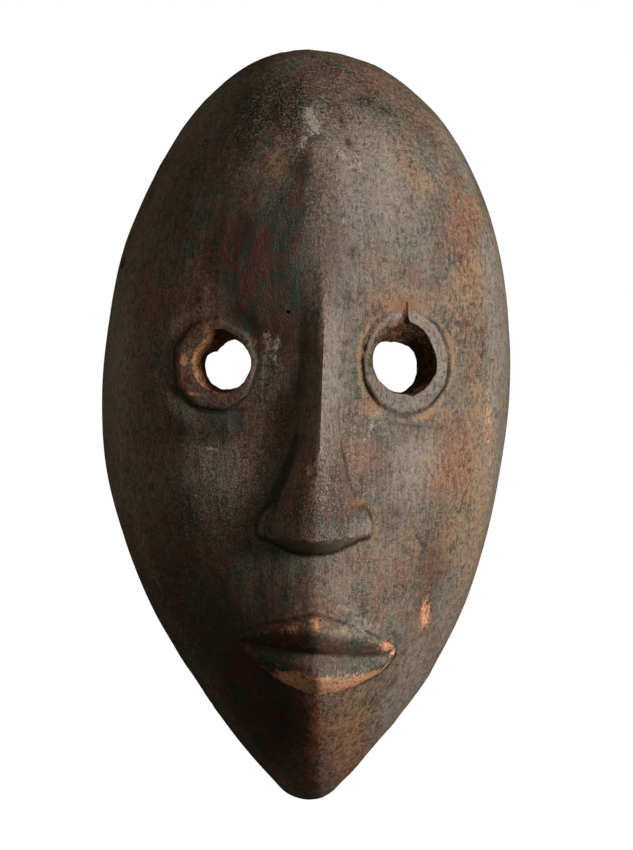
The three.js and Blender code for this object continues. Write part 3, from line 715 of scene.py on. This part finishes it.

# The lower lip is raw along its outer edge, and so is the right corner. The upper lip gets painted shade near
# the slit.
reach, fromAbove, fromBelow, isUpper = lipPlaces(x, y)
onMouth = (reach < 1) & (z > mask["domeHeight"] / 2)
ragged = marking["ragged"] * layered(x, y, z, 3, 71, 2)
rawLip = onMouth * ~isUpper * blend(*marking["rawFrom"], fromBelow)
rawLip = rawLip * blend(*marking["rawTo"], fromBelow + marking["rawFall"] * reach**2 + ragged)
rawLip = rawLip * blend(*marking["rawLeft"], x)
lipCorner = onMouth * blend(*marking["cornerLips"], fromAbove) * blend(*marking["cornerLips"], fromBelow)
lipCorner = lipCorner * blend(*marking["cornerSide"], x)
rawLip = np.maximum(rawLip, lipCorner * blend(*marking["cornerEnd"], reach + ragged))
lipShade = marking["lipShade"] * onMouth * blend(*marking["shadeSlit"], fromBelow) * isUpper
lipShade = lipShade * blend(*marking["shadeTop"], fromAbove)

# Walls of the eye holes face the axis of their bore
for side in ("left", "right"):
    share, way, middleX, middleY = boreReach(x, y, z, eyes[side]["bore"])
    dx, dy = x - middleX, y - middleY
    towardsAxis = -(dx * normals[:, 0] + dy * normals[:, 1]) / np.hypot(dx, dy)
    eyes[side]["onBore"] = (blend(*marking["facingAxis"], towardsAxis) * blend(*marking["boreSide"], share)
                            * (way > marking["boreBack"]))
eyeL, eyeR = eyes["left"], eyes["right"]
onBore = np.clip(eyeL["onBore"] + eyeR["onBore"], 0, 1)
# Tan wood on the left wall of the left hole, made lighter as painted light where the key light falls
tanBoreAndPaintedLight = eyeL["onBore"] * blend(*marking["tanAndLightLeft"], x) * blend(*marking["tanAndLightTop"], y)
onRing = sum(blend(*marking["ringEdge"], eyeReach(x, y, eye)) for eye in (eyeL, eyeR)) * (1 - onBore)
aroundRing = (eyeReach(x, y, eyeR) - marking["dustPlace"]) / marking["dustWidth"]
aroundRing = marking["dustStrength"] * np.exp(-aroundRing**2)
# a painted shadow under the lower left of the left ring
paintedRingShadow = (eyeReach(x, y, eyeL) - marking["shadowPlace"]) / marking["shadowWidth"]
paintedRingShadow = (marking["shadowStrength"] * np.exp(-paintedRingShadow**2) * blend(*marking["shadowBelow"], y - eyeL["y"])
             * blend(*marking["shadowLeft"], x))
hollows = hollowness(marking["hollowReach"])
offFoot = blend(*marking["aboveFoot"], z)
# darker in hollows, with painted shade along the creases and the painted shadow under the left ring
groovesAndPaintedShade = hollows * offFoot * (1 - marking["mouthHollows"] * onMouth) + lineMarks(wear["crease_painted_shade"]) + paintedRingShadow
# Per point; black, film, groove, scratch and tanBoreAndPaintedLight also carry painted shade, sheen,
# highlights and light, and shade is painted shade
worn = {
    "bare": np.clip(rawLip + patches(x, y, wear["bare"]), 0, 1.4),
    "black_and_painted_shade": np.clip(patches(x, y, wear["black_and_painted_shade"]), 0, 1.8),
    # the grey film, with painted sheen on the right ring
    "film_and_painted_sheen": np.clip(patches(x, y, wear["film_and_painted_sheen"]) + 0.9 * onRing * (x > 0), 0, 1),
    "red": np.clip(patches(x, y, wear["red"]) + 0.7 * onRing * (x < 0), 0, 1),
    "dust": np.clip(np.clip(patches(x, y, wear["dust"]), 0, 0.7) + aroundRing, 0, 1),
    "shade": np.clip(patches(x, y, wear["shade"]) + lipShade, 0, 1.85),
    "pitted": np.clip(patches(x, y, wear["pitted"]), 0, 1),
    "rust": np.clip(patches(x, y, wear["rust"]), 0, 1.2),
    "scratch_and_painted_highlight": np.clip(lineMarks(wear["lineMarks"]), 0, 1.2),
    "groove_dirt_and_painted_shade": np.clip(groovesAndPaintedShade, 0, 1.2),
    "edge": np.clip(-hollows * marking["edgeStrength"], 0, 1) * offFoot * (1 - onRing),
    "inside": isInside * (1 - onBore),
    "bore": onBore,
    "tanBoreAndPaintedLight": np.clip(tanBoreAndPaintedLight, 0, 1),
}
for name, values in worn.items():
    layer = shell.attributes.new(name, "FLOAT", "POINT")
    layer.data.foreach_set("value", np.asarray(values, np.float32))

places = (places + rowMiddle) * mm
shell.vertices.foreach_set("co", places.ravel())
shell.shade_smooth()
shell.set_sharp_from_angle(angle=math.radians(mask["sharpAngle"]))
shell.update()
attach(block, "root")
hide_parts("mask")


print("staining the wood")


class Socket:                   # a value in a material: arithmetic on it adds Math nodes
    def __init__(self, shader, link):
        self.shader, self.link = shader, link

    def maths(self, operation, first, second):
        return self.shader.node("Math", {"operation": operation}, {0: first, 1: second})

    def __add__(self, other):
        return self.maths("ADD", self, other)

    def __radd__(self, other):
        return self.maths("ADD", other, self)

    def __sub__(self, other):
        return self.maths("SUBTRACT", self, other)

    def __rsub__(self, other):
        return self.maths("SUBTRACT", other, self)

    def __mul__(self, other):
        return self.maths("MULTIPLY", self, other)

    def __rmul__(self, other):
        return self.maths("MULTIPLY", other, self)


class Shader:
    def __init__(self, name):
        self.material = bpy.data.materials.new(name)
        self.material.use_nodes = True
        self.tree = self.material.node_tree
        self.tree.nodes.clear()

    def node(self, kind, settings=None, sockets=None, output=0):
        made = self.tree.nodes.new("ShaderNode" + kind)
        for key, value in (settings or {}).items():
            setattr(made, key, value)
        for key, value in (sockets or {}).items():
            if isinstance(value, Socket):
                self.tree.links.new(value.link, made.inputs[key])
            else:
                made.inputs[key].default_value = value
        return Socket(self, made.outputs[output]) if made.outputs else made

    def mix(self, first, second, factor):
        return self.node("Mix", {"data_type": "RGBA"}, {0: factor, 6: first, 7: second}, 2)

    def painted(self, name):
        return self.node("Attribute", {"attribute_name": name}, output="Fac")

    def noise(self, stretch, detail, rough, offset=0):     # stretch: lump size in mm along x, y and z
        place = self.node("TexCoord", output="Object")
        scaled = self.node("Mapping", sockets={
            "Vector": place, "Scale": [1 / (s * mm) for s in stretch], "Location": (offset, offset, offset)})
        return self.node("TexNoise", sockets={
            "Vector": scaled, "Scale": 1, "Detail": detail, "Roughness": rough})

    def crumbly(self, name, crumble, edge, softness):      # a painted mask, broken up by a noise
        broken = self.painted(name) * 0.5 + (crumble - 0.5) * finish["crumbling"]
        return self.between(broken, edge - softness, edge + softness)

    def chipped(self, name, crumble, edge, softness):      # the same, but only where the mask is painted
        return self.crumbly(name, crumble, edge, softness) * self.between(self.painted(name), 0.02, 0.2)

    def coated(self, tone, coats):      # coats of (colour, where it lies, strength), from the lowest up
        for colour, place, strength in coats:
            tone = self.mix(tone, colour, place * strength)
        return tone

    def between(self, value, low, high):
        return self.node("MapRange", {"interpolation_type": "SMOOTHSTEP"},
                         {"Value": value, "From Min": low, "From Max": high})


finish = {
    # old paint, where it is thick and where it is thin
    "darkGreen": (0.068, 0.082, 0.058, 1), "darkRed": (0.137, 0.057, 0.036, 1),
    "lightGrey": (0.27, 0.24, 0.19, 1), "lightRed": (0.36, 0.175, 0.105, 1),
    # what lies on it; the grey film also carries painted sheen, and blackGreen and blackRed are colours of
    # painted shade
    "red": (0.36, 0.125, 0.065, 1), "film_and_painted_sheen": (0.41, 0.365, 0.31, 1), "crust": (0.42, 0.33, 0.24, 1),
    "soot": (0.022, 0.018, 0.013, 1), "speck": (0.62, 0.54, 0.42, 1), "dust": (0.5, 0.31, 0.155, 1),
    "rust": (0.4, 0.15, 0.06, 1), "blackGreen": (0.013, 0.028, 0.019, 1), "blackRed": (0.08, 0.018, 0.008, 1),
    # wood without paint
    "bareWood": (1, 0.55, 0.32, 1), "bareDark": (0.5, 0.15, 0.055, 1),
    # the tan wood is also made lighter, as painted light on the lit wall of the left eye hole
    "boreWood": (0.17, 0.085, 0.035, 1), "tanWoodAndPaintedLight": (0.62, 0.27, 0.11, 1),
    "hollowLight": (0.2, 0.115, 0.066, 1), "hollowDark": (0.075, 0.042, 0.028, 1),
    "roughness": 0.32, "crumbDullness": 0.25, "boreDullness": 0.4, "bareDullness": 0.1,
    "crumbling": 2.4, "bumpStrength": 0.8, "bumpHeight": 0.6,
}
wood = Shader("patinated_wood")
grain = wood.noise((0.8, 9, 0.8), 4, 0.7)                     # long fibres
fibre = wood.noise((0.42, 3.2, 0.42), 2, 0.8, 3)              # short fibres
streaks = wood.noise((0.7, 5, 0.7), 3, 0.7, 31)               # fibres of the raw wood
clouds = wood.noise((20, 27, 20), 5, 0.65, 7)
hues = wood.noise((13, 17, 13), 4, 0.65, 41)
blotches = wood.noise((5, 7, 5), 5, 0.75, 11)
crumbs = wood.noise((1.5, 1.9, 1.5), 4, 0.95, 19)
specks = wood.noise((0.5, 0.6, 0.5), 1, 0.7, 23)

# Old paint, green or red by places
dark = wood.mix(finish["darkGreen"], finish["darkRed"], wood.between(hues * 0.7 + clouds * 0.3, 0.42, 0.58))
light = wood.mix(finish["lightGrey"], finish["lightRed"], wood.between(hues * 0.5 + blotches * 0.5, 0.4, 0.6))
thinness = wood.between(clouds * 0.4 + blotches * 0.4 + grain * 0.2, 0.385, 0.595)
paint = wood.mix(dark, light, thinness)

# Stains and wear on the face, with painted sheen, painted highlights and painted shade among the coats; the
# painted shade is greenish or reddish black by places
isRed = wood.between(hues * 0.4 + blotches * 0.6, 0.43, 0.57)
paintedShadeTone = wood.mix(finish["blackGreen"], finish["blackRed"], isRed)
bareWood = wood.mix(finish["bareWood"], finish["bareDark"], wood.between(streaks, 0.5, 0.58) * 0.9)
pitted = wood.painted("pitted")
outer = wood.coated(paint, [
    (finish["red"], wood.crumbly("red", hues * 0.3 + crumbs * 0.3 + grain * 0.4, 0.3, 0.3), 0.75),
    # grey film and painted sheen
    (finish["film_and_painted_sheen"], wood.crumbly("film_and_painted_sheen", blotches * 0.4 + grain * 0.4 + crumbs * 0.2, 0.26, 0.34), 0.8),
    # black stains, partly painted shade
    (finish["soot"], wood.crumbly("black_and_painted_shade", blotches * 0.7 + crumbs * 0.3, 0.3, 0.34), 0.9),
    (finish["soot"], wood.between(crumbs, 0.52, 0.36), 0.7),
    (finish["crust"], wood.between(crumbs, 0.5, 0.66), 0.55),
    (finish["soot"], wood.between(fibre * 0.5 + grain * 0.5, 0.52, 0.36), 0.25),
    (finish["speck"], wood.between(specks, 0.55, 0.7), pitted * 0.7 + 0.28),
    (finish["soot"], wood.between(specks, 0.48, 0.36), pitted * 0.8 + 0.15),
    # darker in hollows, with painted shade along creases and a painted shadow under the left ring
    (finish["soot"], wood.crumbly("groove_dirt_and_painted_shade", crumbs * 0.5 + blotches * 0.5, 0.3, 0.2), 0.88),
    (finish["dust"], wood.crumbly("dust", blotches * 0.35 + crumbs * 0.65, 0.36, 0.2), 0.65),
    # painted shade
    (paintedShadeTone, wood.painted("shade"), 0.52),
    (finish["rust"], wood.chipped("rust", crumbs, 0.36, 0.14), 0.75),
    (bareWood, wood.chipped("bare", crumbs * 0.6 + streaks * 0.4, 0.3, 0.12), 1),
    # light scratches and painted highlights
    (finish["speck"], wood.chipped("scratch_and_painted_highlight", crumbs, 0.3, 0.14), 0.75),
    (finish["bareWood"], wood.painted("edge") * wood.between(crumbs, 0.5, 0.66), 0.3),
])

# Walls of the eye holes, and the hollow behind the face
boreWood = wood.mix(finish["boreWood"], finish["soot"], wood.between(crumbs, 0.56, 0.44))
bores = wood.coated(boreWood, [
    (finish["dust"], wood.between(crumbs, 0.55, 0.65), 0.8),
    # tan wood, made lighter as painted light on the lit wall of the left hole
    (finish["tanWoodAndPaintedLight"], wood.between(crumbs, 0.4, 0.6), wood.painted("tanBoreAndPaintedLight")),
    (finish["rust"], wood.chipped("rust", crumbs, 0.62, 0.12), 0.85),
])
isLight = wood.between(grain * 0.5 + blotches * 0.5, 0.4, 0.6)
behind = wood.mix(finish["hollowDark"], finish["hollowLight"], isLight)
tone = wood.coated(outer, [(bores, wood.painted("bore"), 1), (behind, wood.painted("inside"), 1)])

height = grain * 0.3 + fibre * 0.2 + crumbs + specks * 0.3
bumps = wood.node("Bump", sockets={
    "Strength": finish["bumpStrength"], "Distance": finish["bumpHeight"] * mm, "Height": height})
dullness = (wood.between(crumbs, 0.3, 0.7) * finish["crumbDullness"]
            + wood.painted("bore") * finish["boreDullness"] + wood.painted("bare") * finish["bareDullness"])
surface = wood.node("BsdfPrincipled", sockets={
    "Base Color": tone, "Roughness": dullness + finish["roughness"], "Normal": bumps})
wood.node("OutputMaterial", sockets={"Surface": surface})
shell.materials.clear()
shell.materials.append(wood.material)


print("setting the studio")
studio = {
    "distance": 1.3, "azimuth": -4, "pixelsPerMm": 3.115, "frameHeight": 850, "frameWidth": 633,
    "aimPixel": 303.6, "sensor": 24, "world": 0.03, "bounce": 0.12,
    "key": {"place": (0.8, 0.2, 0.74), "size": 0.35, "power": 11.6},
    "fill": {"place": (-0.95, 0.15, 0.5), "size": 0.7, "power": 0.9},
    "lampAim": (0, 0, 0.03), "floorReach": 3000, "floorLevel": -0.5, "bounceLevel": -1, "roomReach": 5000,
    "keyColour": (1, 0.965, 0.91), "fillColour": (1, 0.9, 0.74), "worldColour": (1, 0.87, 0.68, 1),
}
azimuth = math.radians(studio["azimuth"])
camera = bpy.data.objects.new("camera", bpy.data.cameras.new("camera"))
bpy.context.scene.collection.objects.link(camera)
bpy.context.scene.camera = camera
ridgeX = rowMiddle[0] * mm
camera.location = (ridgeX + math.sin(azimuth) * studio["distance"], 0, math.cos(azimuth) * studio["distance"])
camera.rotation_euler = (0, azimuth, 0)
camera.data.sensor_fit = "VERTICAL"
camera.data.sensor_height = studio["sensor"]
camera.data.lens = studio["sensor"] * studio["distance"] / mm * studio["pixelsPerMm"] / studio["frameHeight"]
camera.data.shift_x = (studio["frameWidth"] / 2 - studio["aimPixel"]) / studio["frameHeight"]

for name in ("key", "fill"):
    lamp = bpy.data.lights.new(name, "AREA")
    lamp.energy, lamp.size = studio[name]["power"], studio[name]["size"]
    lamp.color = studio[name + "Colour"]
    stand = bpy.data.objects.new(name, lamp)
    bpy.context.scene.collection.objects.link(stand)
    stand.location = studio[name]["place"]
    stand.rotation_euler = (Vector(studio["lampAim"]) - stand.location).to_track_quat("-Z", "Y").to_euler()

world = bpy.data.worlds.new("studio")
bpy.context.scene.world = world
world.use_nodes = True
world.node_tree.nodes["Background"].inputs["Color"].default_value = studio["worldColour"]
world.node_tree.nodes["Background"].inputs["Strength"].default_value = studio["world"]

# White paper: the floor and the room round it are only seen, and the bounce only throws light up on the mask
corners = [(-1, -1), (1, -1), (1, 1), (-1, 1)]


def whitePaper(name, points, faces, strength, seenBelow, colour=(1, 1, 1, 1)):
    sheet = meshObject(name, points, faces)
    paper = Shader("white_" + name)
    glow = paper.node("Emission", sockets={"Color": colour, "Strength": strength})
    if not seenBelow:
        clear = paper.node("BsdfTransparent")
        underside = paper.node("NewGeometry", output="Backfacing")
        glow = paper.node("MixShader", sockets={0: underside, 1: glow, 2: clear})
    paper.node("OutputMaterial", sockets={"Surface": glow})
    sheet.data.materials.append(paper.material)
    sheet.visible_shadow = False
    return sheet


def square(height):
    return [(x * studio["floorReach"], y * studio["floorReach"], height) for x, y in corners]


reach = studio["roomReach"]
cube = [(x * reach, y * reach, z * reach) for z in (-1, 1) for x, y in corners]
cubeFaces = [(0, 1, 2, 3), (4, 5, 6, 7), (0, 1, 5, 4), (1, 2, 6, 5), (2, 3, 7, 6), (3, 0, 4, 7)]
ground = whitePaper("floor", square(studio["floorLevel"]), [(0, 1, 2, 3)], 1, False)
room = whitePaper("room", cube, cubeFaces, 1, True)
for sheet in (ground, room):
    sheet.visible_diffuse = sheet.visible_glossy = False
bounce = whitePaper("bounce", square(studio["bounceLevel"]), [(0, 1, 2, 3)], studio["bounce"], True,
                    studio["worldColour"])
bounce.visible_camera = bounce.visible_glossy = False
bpy.context.scene.view_settings.view_transform = "Standard"
